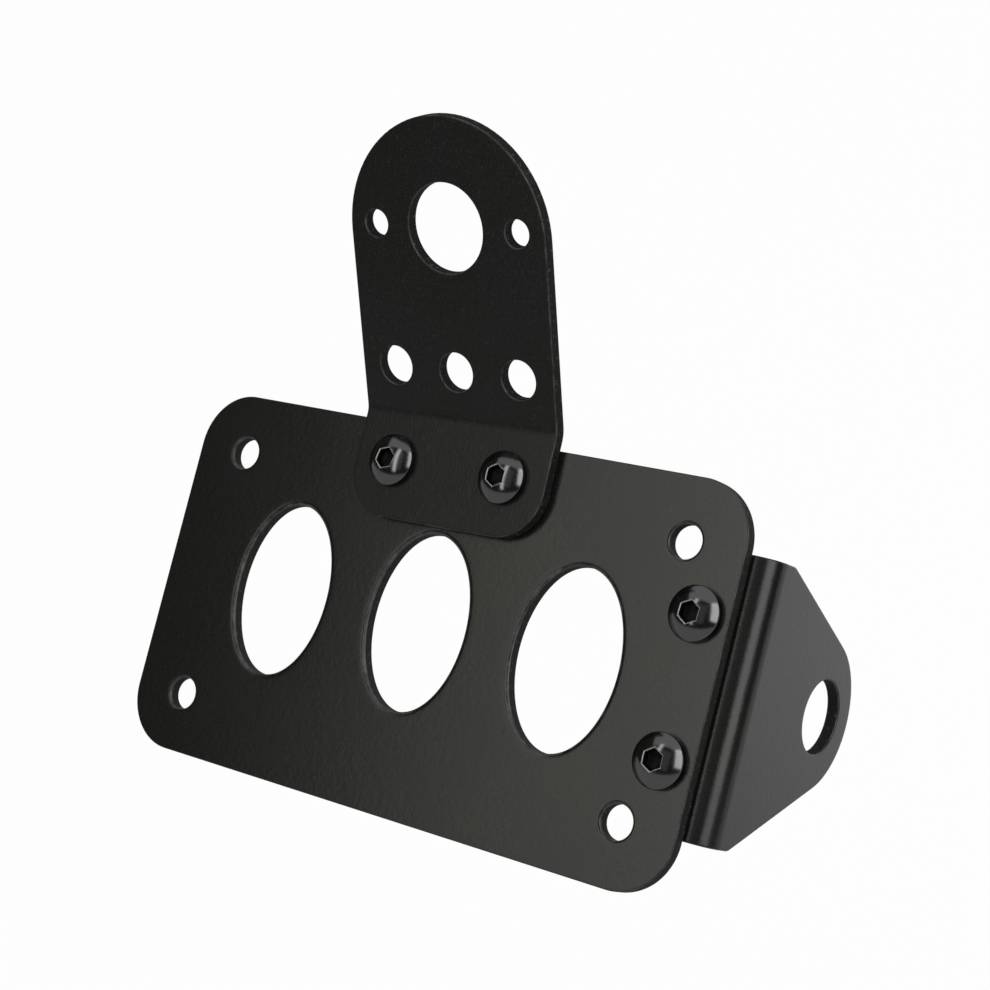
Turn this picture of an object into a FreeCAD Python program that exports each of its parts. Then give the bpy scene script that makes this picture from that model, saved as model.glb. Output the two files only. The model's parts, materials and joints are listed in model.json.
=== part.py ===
"""Side mount number plate holder for a motorcycle, as a parametric document.

Three folded steel sheets are bolted together: a flat carrier for the number plate, a bracket
with a round top that holds the tail lamp, and an angle bracket that slides over the wheel axle.
Each joint has two button head screws, each with a washer and a nut behind the sheets.

Row frame: millimetres, X to the right across the number plate, Y away from the person who reads
the plate, Z up the plate. The origin is the centre of the axle bore, halfway through its wall.
"""
import FreeCAD, Part
import math
import os
import Sketcher

# Driving sizes in millimetres, and in degrees where the name says lean, turn or spin
SIZES = {
    "gauge": 3.5,                 # thickness of all three sheets
    "rim_break": 0.5,             # broken edge on both sides of every cut edge of a sheet
    "carrier_width": 180.0,
    "carrier_height": 102.4,
    "carrier_corner": 15.5,
    "plate_pitch_across": 146.05,  # number plate holes, centre to centre
    "plate_pitch_up": 69.85,
    "plate_bore": 8.8,
    "oval_width": 31.6,
    "oval_height": 47.6,
    "oval_pitch": 47.4,
    "lamp_shift": 0.5,            # lamp bracket to the right of the carrier's middle
    "lamp_screw_inset": 10.4,     # carrier's upper edge to its two screws
    "lamp_screw_pitch": 36.2,
    "lamp_turn": 1.4,             # its lean in the carrier's plane
    "lamp_lean": 29.1,            # fold of the lamp face away from the carrier
    "lamp_fold_inside": 5.0,
    "lamp_fold_rise": 13.2,       # fold line above the screws
    "lamp_bracket_width": 62.2,
    "tab_drop": 15.4,             # screws to the tab's lower edge
    "tab_corner": 13.0,
    "arch_rise": 49.0,            # fold line to the centre of the round top
    "lamp_bore": 23.6,
    "lamp_bore_rise": 51.2,
    "stud_bore": 7.3,             # two small holes beside the lamp hole
    "stud_pitch": 45.0,
    "row_bore": 10.6,             # three holes in a row above the fold
    "row_pitch": 20.0,
    "row_rise": 13.1,
    "fold_proud": 6.7,            # outer face of the axle wall beyond the carrier's edge
    "fold_inside": 3.0,
    "fold_height": 70.4,
    "leg_reach": 27.7,            # axle wall's outer face to the leg's far edge
    "leg_end_height": 48.0,
    "leg_shoulder": 10.5,         # axle wall's outer face to where the leg narrows
    "leg_corner": 4.0,
    "shoulder": 11.0,             # leg's mating face to where the axle wall narrows
    "shoulder_round": 4.0,
    "axle_bore": 19.2,
    "axle_setback": 43.6,         # leg's mating face to the axle
    "axle_rise": 1.8,             # axle above the carrier's middle
    "tip_radius": 20.3,
    "tip_setback": 39.5,          # leg's mating face to the centre of the round tip
    "side_screw_inset": 9.0,      # carrier's right edge to the screws of the angle bracket
    "side_screw_pitch": 36.2,
    "thread_size": 8.0,
    "hole_play": 0.8,             # clearance of a screw hole over the thread
    "screw_length": 20.0,
    "screw_end_chamfer": 1.0,
    "head_width": 14.0,
    "head_height": 4.4,
    "head_rim": 0.5,
    "head_flat": 6.8,
    "socket_width": 5.0,
    "socket_depth": 2.6,
    "washer_width": 16.0,
    "washer_bore": 8.4,
    "washer_gauge": 1.6,
    "nut_width": 13.0,
    "nut_height": 6.5,
    "nut_bore": 8.2,
    "nut_chamfer_lean": 30.0,
}

# Places in the row frame, written as expressions on the sheet
CARRIER_X = "-(sizes.carrier_width / 2 + sizes.fold_proud - sizes.gauge / 2)"
CARRIER_Y = "-(sizes.gauge + sizes.axle_setback)"
CARRIER_Z = "-sizes.axle_rise"
LAMP_X = f"{CARRIER_X} + sizes.lamp_shift"
LAMP_SCREW_RISE = "sizes.carrier_height / 2 - sizes.lamp_screw_inset"
LAMP_Z = f"{CARRIER_Z} + {LAMP_SCREW_RISE}"
SIDE_SCREW_X = f"{CARRIER_X} + sizes.carrier_width / 2 - sizes.side_screw_inset"

# Tangent length of the lamp fold on its inner side, and outer radius of the axle wall's fold
LAMP_FOLD_TANGENT = "sizes.lamp_fold_inside * tan(sizes.lamp_lean / 2)"
SIDE_FOLD_OUTSIDE = "(sizes.fold_inside + sizes.gauge)"

SCREW_BORE = "sizes.thread_size + sizes.hole_play"

ACROSS = FreeCAD.Vector(1, 0, 0)
AWAY = FreeCAD.Vector(0, 1, 0)
UP = FreeCAD.Vector(0, 0, 1)

# How a sketch's constraints name a point of a line or an arc, and the sketch's own origin
START, END, MIDDLE = range(1, 4)
SKETCH_ORIGIN = (-1, START)

doc = FreeCAD.newDocument("side_mount_plate_holder")
sheet = doc.addObject("Spreadsheet::Sheet", "sizes")


def fill_sheet():
    """Writes each driving size to its own row, with its alias."""
    for row, (alias, value) in enumerate(SIZES.items(), start=1):
        sheet.set(f"A{row}", alias)
        sheet.set(f"B{row}", f"{value:g}")
        sheet.setAlias(f"B{row}", alias)
    doc.recompute()


def value_of(expression):
    """The number that an expression on the sheet comes to."""
    return float(sheet.evalExpression(expression))


# Bodies, sketches and features


def new_body(name, x, y, z, axis=UP, turn="0"):
    """A body at a place in the row frame, turned about an axis by an expression in degrees."""
    body = doc.addObject("PartDesign::Body", name)
    body.Label = name
    place = FreeCAD.Vector(value_of(x), value_of(y), value_of(z))
    body.Placement = FreeCAD.Placement(place, FreeCAD.Rotation(axis, value_of(turn)))
    for letter, expression in zip("xyz", (x, y, z)):
        body.setExpression(f"Placement.Base.{letter}", expression)
    if turn != "0":
        body.setExpression("Placement.Rotation.Angle", turn)
    return body


def new_sketch(body, name, plane, offset=("0", "0", "0"), lean="0"):
    """A sketch on one of the body's origin planes, moved and leant about its own X axis."""
    sketch = body.newObject("Sketcher::SketchObject", name)
    support = next(f for f in body.Origin.OriginFeatures if f.Role == plane)
    sketch.AttachmentSupport = (support, [""])
    sketch.MapMode = "FlatFace"
    base = FreeCAD.Vector(*(value_of(expression) for expression in offset))
    rotation = FreeCAD.Rotation(ACROSS, value_of(lean))
    sketch.AttachmentOffset = FreeCAD.Placement(base, rotation)
    for letter, expression in zip("xyz", offset):
        if expression != "0":
            sketch.setExpression(f"AttachmentOffset.Base.{letter}", expression)
    if lean != "0":
        sketch.setExpression("AttachmentOffset.Rotation.Angle", lean)
    return sketch


def dimension(sketch, kind, places, expression):
    """One dimension of a sketch, tied to the sheet."""
    index = sketch.addConstraint(Sketcher.Constraint(kind, *places, value_of(expression)))
    sketch.setExpression(f"Constraints[{index}]", expression)


def pin_point(sketch, geometry, place, x, y):
    """Holds a point of a sketch at given coordinates from the sketch's origin."""
    dimension(sketch, "DistanceX", (*SKETCH_ORIGIN, geometry, place), x)
    dimension(sketch, "DistanceY", (*SKETCH_ORIGIN, geometry, place), y)


def join(sketch, first, first_end, second, second_end):
    """Makes two ends of a sketch's lines or arcs one point."""
    sketch.addConstraint(Sketcher.Constraint("Coincident", first, first_end, second, second_end))


def flat_point(x, y):
    """A point of a sketch plane from two expressions."""
    return FreeCAD.Vector(value_of(x), value_of(y), 0)


def add_polygon(sketch, corners):
    """A closed outline of straight lines through corners given as pairs of expressions."""
    points = [flat_point(*corner) for corner in corners]
    ring = zip(points, points[1:] + points[:1])
    lines = [sketch.addGeometry(Part.LineSegment(start, end)) for start, end in ring]
    for line, follower in zip(lines, lines[1:] + lines[:1]):
        join(sketch, line, END, follower, START)
    for line, corner in zip(lines, corners):
        pin_point(sketch, line, START, *corner)


def add_rectangle(sketch, left, right, bottom, top):
    """A rectangle between four expressions."""
    add_polygon(sketch, ((left, bottom), (right, bottom), (right, top), (left, top)))


def add_circle(sketch, x, y, width):
    """A circle of a given diameter."""
    circle = Part.Circle(flat_point(x, y), FreeCAD.Vector(0, 0, 1), value_of(width) / 2)
    index = sketch.addGeometry(circle)
    pin_point(sketch, index, MIDDLE, x, y)
    dimension(sketch, "Diameter", (index,), width)


def add_round_end(sketch, foot, spread, centre, radius):
    """A closed outline with a round end: foot line, two sides tangent to an arc, and the arc.

    foot holds the corners of one side, as pairs of expressions, from the foot line outwards. The
    other side mirrors them: spread is the direction of the foot line, "x" or "y".
    """
    near = list(foot)
    far = [(f"-({x})", y) if spread == "x" else (x, f"-({y})") for x, y in foot]
    middle = flat_point(*centre)
    reach = value_of(radius)
    near_touch = touching_point(flat_point(*near[-1]), middle, reach, spread)
    far_touch = touching_point(flat_point(*far[-1]), middle, reach, spread)
    outward = middle - (flat_point(*near[0]) + flat_point(*far[0])) / 2
    outward.normalize()
    arc = sketch.addGeometry(Part.Arc(near_touch, middle + outward * reach, far_touch))
    arc_starts_near = sketch.getPoint(arc, START).distanceToPoint(near_touch) < reach / 100
    near_end, far_end = (START, END) if arc_starts_near else (END, START)
    pin_point(sketch, arc, MIDDLE, *centre)
    dimension(sketch, "Radius", (arc,), radius)
    first_lines = []
    for side, touch, arc_end in ((near, near_touch, near_end), (far, far_touch, far_end)):
        points = [flat_point(*corner) for corner in side] + [touch]
        pairs = zip(points, points[1:])
        lines = [sketch.addGeometry(Part.LineSegment(start, end)) for start, end in pairs]
        for line, corner in zip(lines, side):
            pin_point(sketch, line, START, *corner)
        for line, follower in zip(lines, lines[1:]):
            join(sketch, line, END, follower, START)
        sketch.addConstraint(Sketcher.Constraint("Tangent", lines[-1], END, arc, arc_end))
        first_lines.append(lines[0])
    foot_line = sketch.addGeometry(Part.LineSegment(flat_point(*near[0]), flat_point(*far[0])))
    join(sketch, foot_line, START, first_lines[0], START)
    join(sketch, foot_line, END, first_lines[1], START)


def touching_point(outside, middle, radius, spread):
    """Where the tangent from a point touches a circle, on the side where the point lies."""
    across = outside - middle
    half_angle = math.acos(radius / across.Length)
    across.normalize()
    turns = [FreeCAD.Rotation(UP, sign * math.degrees(half_angle)) for sign in (1, -1)]
    places = [middle + turn.multVec(across) * radius for turn in turns]
    return max(places, key=lambda place: getattr(place, spread) * getattr(outside, spread))


def settle(feature):
    """Recomputes the document and stops if the feature failed."""
    doc.recompute()
    if "Invalid" in feature.State or "Error" in feature.State or feature.Shape.isNull():
        raise RuntimeError(f"{feature.Name} failed: {feature.State}")
    if len(feature.Shape.Solids) != 1:
        raise RuntimeError(f"{feature.Name} left more than one solid")
    return feature


def pad(body, name, sketch, length, backwards=False):
    """A pad of a sketch."""
    feature = body.newObject("PartDesign::Pad", name)
    feature.Profile = sketch
    feature.setExpression("Length", length)
    feature.Reversed = backwards
    return settle(feature)


def pocket(body, name, sketch, length, backwards=False):
    """A pocket of a sketch, which has to take material away."""
    before = body.Tip.Shape.Volume
    feature = body.newObject("PartDesign::Pocket", name)
    feature.Profile = sketch
    feature.setExpression("Length", length)
    feature.Reversed = backwards
    settle(feature)
    if feature.Shape.Volume >= before:
        raise RuntimeError(f"{name} cut nothing")
    return feature


def fold(body, name, sketch, angle):
    """A fold: the sheet's section turned about the first construction line of its sketch."""
    feature = body.newObject("PartDesign::Revolution", name)
    feature.Profile = sketch
    feature.ReferenceAxis = (sketch, ["Axis0"])
    feature.setExpression("Angle", angle)
    return settle(feature)


def pick_edges(base, picks):
    """Names of the edges of a feature that the function picks."""
    return [f"Edge{i}" for i, edge in enumerate(base.Shape.Edges, start=1) if picks(edge)]


def round_edges(body, name, picks, radius):
    """Rounds the edges of the body's last feature that the function picks."""
    base = body.Tip
    feature = body.newObject("PartDesign::Fillet", name)
    feature.Base = (base, pick_edges(base, picks))
    feature.setExpression("Radius", radius)
    return settle(feature)


def is_along(edge, direction):
    """True for a straight edge along a direction."""
    if edge.Curve.TypeId != "Part::GeomLine":
        return False
    return edge.Curve.Direction.cross(direction).Length < 1e-6


def break_rims(body, name):
    """Breaks every edge where a sheet's broad face meets its cut edge, on both sides."""
    shape = body.Tip.Shape
    gauge = value_of("sizes.gauge")

    def is_rim(edge):
        faces = shape.ancestorsOfType(edge, Part.Face)
        if len(faces) != 2:
            return False
        if edge.Curve.TypeId == "Part::GeomLine" and abs(edge.Length - gauge) < 1e-6:
            return False
        middle = edge.valueAt((edge.FirstParameter + edge.LastParameter) / 2)
        normals = [face.normalAt(*face.Surface.parameter(middle)) for face in faces]
        return abs(normals[0].dot(normals[1])) < 0.1

    base = body.Tip
    feature = body.newObject("PartDesign::Chamfer", name)
    feature.Base = (base, pick_edges(base, is_rim))
    feature.setExpression("Size", "sizes.rim_break")
    return settle(feature)


# Number plate carrier


def make_carrier():
    """Flat sheet with four number plate holes, three ovals and four screw holes."""
    body = new_body("number_plate_carrier", CARRIER_X, CARRIER_Y, CARRIER_Z)
    outline = new_sketch(body, "carrier_outline", "XZ_Plane")
    half_width = "sizes.carrier_width / 2"
    half_height = "sizes.carrier_height / 2"
    add_rectangle(outline, f"-{half_width}", half_width, f"-{half_height}", half_height)
    pad(body, "carrier_blank", outline, "sizes.gauge", backwards=True)
    round_edges(body, "carrier_corners", lambda edge: is_along(edge, AWAY), "sizes.carrier_corner")
    cut_ovals(body)
    cut_carrier_holes(body)
    break_rims(body, "carrier_rims")
    return body


def cut_ovals(body):
    """One oval at the left, repeated twice to the right."""
    sketch = new_sketch(body, "oval_outline", "XZ_Plane")
    centre = flat_point("-sizes.oval_pitch", "0")
    half_height = value_of("sizes.oval_height") / 2
    half_width = value_of("sizes.oval_width") / 2
    top = centre + FreeCAD.Vector(0, half_height, 0)
    side = centre + FreeCAD.Vector(half_width, 0, 0)
    oval = sketch.addGeometry(Part.Ellipse(top, side, centre))
    sketch.exposeInternalGeometry(oval)
    long_axis = oval + 1
    short_axis = oval + 2
    pin_point(sketch, oval, MIDDLE, "-sizes.oval_pitch", "0")
    sketch.addConstraint(Sketcher.Constraint("Vertical", long_axis))
    dimension(sketch, "Distance", (long_axis,), "sizes.oval_height")
    dimension(sketch, "Distance", (short_axis,), "sizes.oval_width")
    first = pocket(body, "oval", sketch, "sizes.gauge")
    row = body.newObject("PartDesign::LinearPattern", "oval_row")
    row.Originals = [first]
    row.Direction = (sketch, ["H_Axis"])
    row.setExpression("Length", "2 * sizes.oval_pitch")
    row.Occurrences = 3
    body.Tip = row
    settle(row)


def cut_carrier_holes(body):
    """Number plate holes in the corners and the screw holes of both brackets."""
    corner_holes = new_sketch(body, "plate_hole_outlines", "XZ_Plane")
    for across in ("-", ""):
        for up in ("-", ""):
            x = f"{across}sizes.plate_pitch_across / 2"
            y = f"{up}sizes.plate_pitch_up / 2"
            add_circle(corner_holes, x, y, "sizes.plate_bore")
    pocket(body, "plate_holes", corner_holes, "sizes.gauge")
    screw_holes = new_sketch(body, "screw_hole_outlines", "XZ_Plane")
    for side in ("-", "+"):
        x = f"sizes.lamp_shift {side} sizes.lamp_screw_pitch / 2 * cos(sizes.lamp_turn)"
        y = f"{LAMP_SCREW_RISE} {side} sizes.lamp_screw_pitch / 2 * sin(sizes.lamp_turn)"
        add_circle(screw_holes, x, y, SCREW_BORE)
        x = "sizes.carrier_width / 2 - sizes.side_screw_inset"
        y = f"0 {side} sizes.side_screw_pitch / 2"
        add_circle(screw_holes, x, y, SCREW_BORE)
    pocket(body, "screw_holes", screw_holes, "sizes.gauge")


# Lamp bracket


def make_lamp_bracket():
    """Folded sheet: a tab on the carrier's front, a fold, and a face with a round top."""
    body = new_body("lamp_bracket", LAMP_X, CARRIER_Y, LAMP_Z, AWAY * -1, "sizes.lamp_turn")
    half_width = "sizes.lamp_bracket_width / 2"
    fold_foot = f"sizes.lamp_fold_rise - {LAMP_FOLD_TANGENT}"

    tab = new_sketch(body, "tab_outline", "XZ_Plane")
    add_rectangle(tab, f"-{half_width}", half_width, "-sizes.tab_drop", fold_foot)
    pad(body, "tab", tab, "sizes.gauge")
    drop = value_of("sizes.tab_drop")
    round_edges(body, "tab_corners",
                lambda edge: is_along(edge, AWAY) and abs(edge.CenterOfMass.z + drop) < 1e-6,
                "sizes.tab_corner")

    section = new_sketch(body, "lamp_fold_section", "XY_Plane", ("0", "0", fold_foot))
    add_rectangle(section, f"-{half_width}", half_width, "-sizes.gauge", "0")
    add_fold_axis(section, "X", "-(sizes.gauge + sizes.lamp_fold_inside)")
    fold(body, "lamp_fold", section, "sizes.lamp_lean")

    # The lamp face is drawn on the front of the sheet, up from the fold line
    lamp_plane = ("0", "sizes.lamp_fold_rise", "sizes.gauge")
    face = new_sketch(body, "lamp_face_outline", "XZ_Plane", lamp_plane, "sizes.lamp_lean")
    foot = [(f"-{half_width}", LAMP_FOLD_TANGENT)]
    add_round_end(face, foot, "x", ("0", "sizes.arch_rise"), half_width)
    pad(body, "lamp_face", face, "sizes.gauge", backwards=True)

    holes = new_sketch(body, "lamp_hole_outlines", "XZ_Plane", lamp_plane, "sizes.lamp_lean")
    add_circle(holes, "0", "sizes.lamp_bore_rise", "sizes.lamp_bore")
    for side in (-1, 1):
        x = f"{side} * sizes.stud_pitch / 2"
        add_circle(holes, x, "sizes.lamp_bore_rise", "sizes.stud_bore")
    for step in (-1, 0, 1):
        add_circle(holes, f"{step} * sizes.row_pitch", "sizes.row_rise", "sizes.row_bore")
    pocket(body, "lamp_holes", holes, "sizes.gauge")

    tab_holes = new_sketch(body, "tab_hole_outlines", "XZ_Plane")
    for side in ("-", ""):
        add_circle(tab_holes, f"{side}sizes.lamp_screw_pitch / 2", "0", SCREW_BORE)
    pocket(body, "tab_holes", tab_holes, "sizes.gauge", backwards=True)
    break_rims(body, "lamp_bracket_rims")
    return body


def add_fold_axis(sketch, along, distance):
    """The construction line that a fold turns about, along the sketch's X or Y axis."""
    stub = value_of("sizes.gauge")
    level = value_of(distance)
    if along == "X":
        ends = (FreeCAD.Vector(0, level, 0), FreeCAD.Vector(stub, level, 0))
        corner = ("0", distance)
        rule = "Horizontal"
    else:
        ends = (FreeCAD.Vector(level, 0, 0), FreeCAD.Vector(level, stub, 0))
        corner = (distance, "0")
        rule = "Vertical"
    line = sketch.addGeometry(Part.LineSegment(*ends), True)
    pin_point(sketch, line, START, *corner)
    sketch.addConstraint(Sketcher.Constraint(rule, line))
    dimension(sketch, "Distance", (line,), "sizes.gauge")


# Side bracket


def make_side_bracket():
    """Angle bracket: a leg behind the carrier, a square fold, and the wall with the axle bore."""
    body = new_body("side_bracket", "sizes.gauge / 2", "-sizes.axle_setback", CARRIER_Z)
    half_height = "sizes.fold_height / 2"

    leg = new_sketch(body, "leg_outline", "XZ_Plane")
    fold_edge = f"-{SIDE_FOLD_OUTSIDE}"
    end_height = "sizes.leg_end_height / 2"
    add_polygon(leg, ((fold_edge, f"-{half_height}"), (fold_edge, half_height),
                      ("-sizes.leg_shoulder", half_height), ("-sizes.leg_reach", end_height),
                      ("-sizes.leg_reach", f"-{end_height}"),
                      ("-sizes.leg_shoulder", f"-{half_height}")))
    pad(body, "leg", leg, "sizes.gauge", backwards=True)
    fold_side = value_of(fold_edge)
    round_edges(body, "leg_corners",
                lambda edge: is_along(edge, AWAY) and edge.CenterOfMass.x < fold_side - 1e-6,
                "sizes.leg_corner")

    section = new_sketch(body, "side_fold_section", "YZ_Plane", ("0", "0", fold_edge))
    add_rectangle(section, "0", "sizes.gauge", f"-{half_height}", half_height)
    add_fold_axis(section, "Y", SIDE_FOLD_OUTSIDE)
    fold(body, "side_fold", section, "90")

    wall = new_sketch(body, "axle_wall_outline", "YZ_Plane")
    foot = [(SIDE_FOLD_OUTSIDE, f"-{half_height}"), ("sizes.shoulder", f"-{half_height}")]
    add_round_end(wall, foot, "y", ("sizes.tip_setback", "sizes.axle_rise"), "sizes.tip_radius")
    pad(body, "axle_wall", wall, "sizes.gauge", backwards=True)
    shoulder = value_of("sizes.shoulder")
    round_edges(body, "shoulders",
                lambda edge: is_along(edge, ACROSS) and abs(edge.CenterOfMass.y - shoulder) < 1e-6,
                "sizes.shoulder_round")

    bore = new_sketch(body, "axle_bore_outline", "YZ_Plane")
    add_circle(bore, "sizes.axle_setback", "sizes.axle_rise", "sizes.axle_bore")
    pocket(body, "axle_bore_cut", bore, "sizes.gauge")

    leg_holes = new_sketch(body, "leg_hole_outlines", "XZ_Plane")
    for side in ("-", ""):
        x = "-(sizes.fold_proud + sizes.side_screw_inset)"
        add_circle(leg_holes, x, f"{side}sizes.side_screw_pitch / 2", SCREW_BORE)
    pocket(body, "leg_holes", leg_holes, "sizes.gauge")
    break_rims(body, "side_bracket_rims")
    return body


# Fasteners, each drawn along its own Z axis with its seat at the origin


def make_screw(name, x, y, z, spin):
    """Button head screw: the head rises along Z, the shank goes down, with a hexagon socket."""
    body = new_body(name, x, y, z)
    body.Placement.Rotation = FreeCAD.Rotation(ACROSS, 90)
    profile = new_sketch(body, f"{name}_profile", "XZ_Plane")
    end_radius = "sizes.thread_size / 2 - sizes.screw_end_chamfer"
    end_level = "-sizes.screw_length"
    chamfer_level = "sizes.screw_end_chamfer - sizes.screw_length"
    corners = (("0", end_level), (end_radius, end_level), ("sizes.thread_size / 2", chamfer_level),
               ("sizes.thread_size / 2", "0"), ("sizes.head_width / 2", "0"),
               ("sizes.head_width / 2", "sizes.head_rim"))
    crown = (("sizes.head_flat / 2", "sizes.head_height"), ("0", "sizes.head_height"))
    add_turned_head(profile, corners, crown)
    turning = body.newObject("PartDesign::Revolution", f"{name}_turning")
    turning.Profile = profile
    turning.ReferenceAxis = (profile, ["V_Axis"])
    turning.Angle = 360
    settle(turning)

    top = ("0", "0", "sizes.head_height")
    socket = new_sketch(body, f"{name}_socket_outline", "XY_Plane", top)
    add_hexagon(socket, "sizes.socket_width", spin)
    pocket(body, f"{name}_socket", socket, "sizes.socket_depth")
    return body


def add_turned_head(sketch, corners, crown):
    """Half profile of a screw: straight lines, with the dome as an arc centred on the axis."""
    places = corners + crown
    points = [flat_point(*place) for place in places]
    dome = len(corners) - 1
    pieces = []
    starts = []
    ends = []
    for index, (start, end) in enumerate(zip(points, points[1:] + points[:1])):
        geometry = dome_arc(start, end) if index == dome else Part.LineSegment(start, end)
        piece = sketch.addGeometry(geometry)
        runs_forward = sketch.getPoint(piece, START).distanceToPoint(start) < start.distanceToPoint(end) / 2
        pieces.append(piece)
        starts.append(START if runs_forward else END)
        ends.append(END if runs_forward else START)
    for index, piece in enumerate(pieces):
        follower = (index + 1) % len(pieces)
        join(sketch, piece, ends[index], pieces[follower], starts[follower])
        pin_point(sketch, piece, starts[index], *places[index])
    # A constraint names the sketch's upright axis as piece -2
    on_axis = Sketcher.Constraint("PointOnObject", pieces[dome], MIDDLE, -2)
    sketch.addConstraint(on_axis)


def dome_arc(rim, top):
    """The arc from the head's rim to its flat top whose centre lies on the axis."""
    level = ((rim.x ** 2 + rim.y ** 2) - (top.x ** 2 + top.y ** 2)) / (2 * (rim.y - top.y))
    radius = math.hypot(rim.x, rim.y - level)
    half_way = (math.atan2(rim.y - level, rim.x) + math.atan2(top.y - level, top.x)) / 2
    crest = FreeCAD.Vector(radius * math.cos(half_way), level + radius * math.sin(half_way), 0)
    return Part.Arc(rim, crest, top)


def add_hexagon(sketch, width, spin):
    """A hexagon given by its width across flats, turned by a spin in degrees."""
    corners = []
    for corner in range(6):
        angle = f"({spin} + {60 * corner})"
        radius = f"{width} / 2 / cos(30)"
        corners.append((f"{radius} * cos{angle}", f"{radius} * sin{angle}"))
    add_polygon(sketch, corners)


def make_washer(name, x, y, z):
    """Plain washer, from its seat along Z."""
    body = new_body(name, x, y, z)
    body.Placement.Rotation = FreeCAD.Rotation(ACROSS, -90)
    ring = new_sketch(body, f"{name}_ring", "XY_Plane")
    add_circle(ring, "0", "0", "sizes.washer_width")
    add_circle(ring, "0", "0", "sizes.washer_bore")
    pad(body, f"{name}_blank", ring, "sizes.washer_gauge")
    return body


def make_nut(name, x, y, z, spin):
    """Hexagon nut, from its seat along Z, with the corners turned off at both ends."""
    body = new_body(name, x, y, z)
    body.Placement.Rotation = FreeCAD.Rotation(ACROSS, -90)
    outline = new_sketch(body, f"{name}_outline", "XY_Plane")
    add_hexagon(outline, "sizes.nut_width", spin)
    add_circle(outline, "0", "0", "sizes.nut_bore")
    pad(body, f"{name}_blank", outline, "sizes.nut_height")
    turn_off_nut_corners(body, name, "0", "1")
    turn_off_nut_corners(body, name, "sizes.nut_height", "-1")
    return body


def turn_off_nut_corners(body, name, level, inward):
    """A cone cut from the corners at one end face, inward giving the side of the metal."""
    before = body.Tip.Shape.Volume
    end = "lower" if level == "0" else "upper"
    sketch = new_sketch(body, f"{name}_{end}_chamfer", "XZ_Plane")
    inner = "sizes.nut_width / 2"
    outer = "sizes.nut_width / 2 / cos(30) + sizes.gauge"
    fall = f"{inward} * ({outer} - {inner}) * tan(sizes.nut_chamfer_lean)"
    corners = ((inner, level), (outer, level), (outer, f"{level} + {fall}"))
    add_polygon(sketch, corners)
    groove = body.newObject("PartDesign::Groove", f"{name}_{end}_turning")
    groove.Profile = sketch
    groove.ReferenceAxis = (sketch, ["V_Axis"])
    groove.Angle = 360
    settle(groove)
    if groove.Shape.Volume >= before:
        raise RuntimeError(f"{groove.Name} cut nothing")


def make_fasteners():
    """A screw, a washer and a nut at each of the four places."""
    bodies = []
    half_lamp = "sizes.lamp_screw_pitch / 2"
    half_side = "sizes.side_screw_pitch / 2"
    lamp_seat = f"{CARRIER_Y} - sizes.gauge"
    lamp_back = f"{CARRIER_Y} + sizes.gauge"
    side_back = f"{CARRIER_Y} + 2 * sizes.gauge"
    places = (
        ("lamp", "left", f"{LAMP_X} - {half_lamp} * cos(sizes.lamp_turn)",
         f"{LAMP_Z} - {half_lamp} * sin(sizes.lamp_turn)", lamp_seat, lamp_back, "18", "8"),
        ("lamp", "right", f"{LAMP_X} + {half_lamp} * cos(sizes.lamp_turn)",
         f"{LAMP_Z} + {half_lamp} * sin(sizes.lamp_turn)", lamp_seat, lamp_back, "31", "25"),
        ("side", "upper", SIDE_SCREW_X, f"{CARRIER_Z} + {half_side}", CARRIER_Y, side_back, "27", "30"),
        ("side", "lower", SIDE_SCREW_X, f"{CARRIER_Z} - {half_side}", CARRIER_Y, side_back, "32", "12"),
    )
    for joint, where, x, z, seat, back, socket_spin, nut_spin in places:
        bodies.append(make_screw(f"{joint}_screw_{where}", x, seat, z, socket_spin))
        bodies.append(make_washer(f"{joint}_washer_{where}", x, back, z))
        nut_seat = f"{back} + sizes.washer_gauge"
        bodies.append(make_nut(f"{joint}_nut_{where}", x, nut_seat, z, nut_spin))
    return bodies


def write_parts(bodies):
    """Checks every object and writes each piece to its own file."""
    doc.recompute()
    for item in doc.Objects:
        if "Invalid" in item.State or "Error" in item.State:
            raise RuntimeError(f"{item.Name} failed: {item.State}")
    os.makedirs("parts", exist_ok=True)
    for body in bodies:
        shape = body.Shape
        if shape.isNull() or not shape.isValid() or len(shape.Solids) != 1:
            raise RuntimeError(f"{body.Label} is not one valid solid")
        shape.exportStep(os.path.join("parts", f"{body.Label}.step"))
        print(f"{body.Label}: {shape.Volume:.1f} cubic mm")


fill_sheet()
write_parts([make_carrier(), make_lamp_bracket(), make_side_bracket()] + make_fasteners())
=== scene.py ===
"""Side mount number plate holder: black coated folded sheets, black plated screws, a plain studio.

Everything is in metres in the row frame: X to the right across the number plate, Y away from the
person who reads it, Z up the plate, with the origin in the middle of the axle bore.
"""

import json
import math

import bmesh
import bpy
from bpy.props import FloatProperty, FloatVectorProperty, PointerProperty
from mathutils import Matrix, Vector


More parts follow.
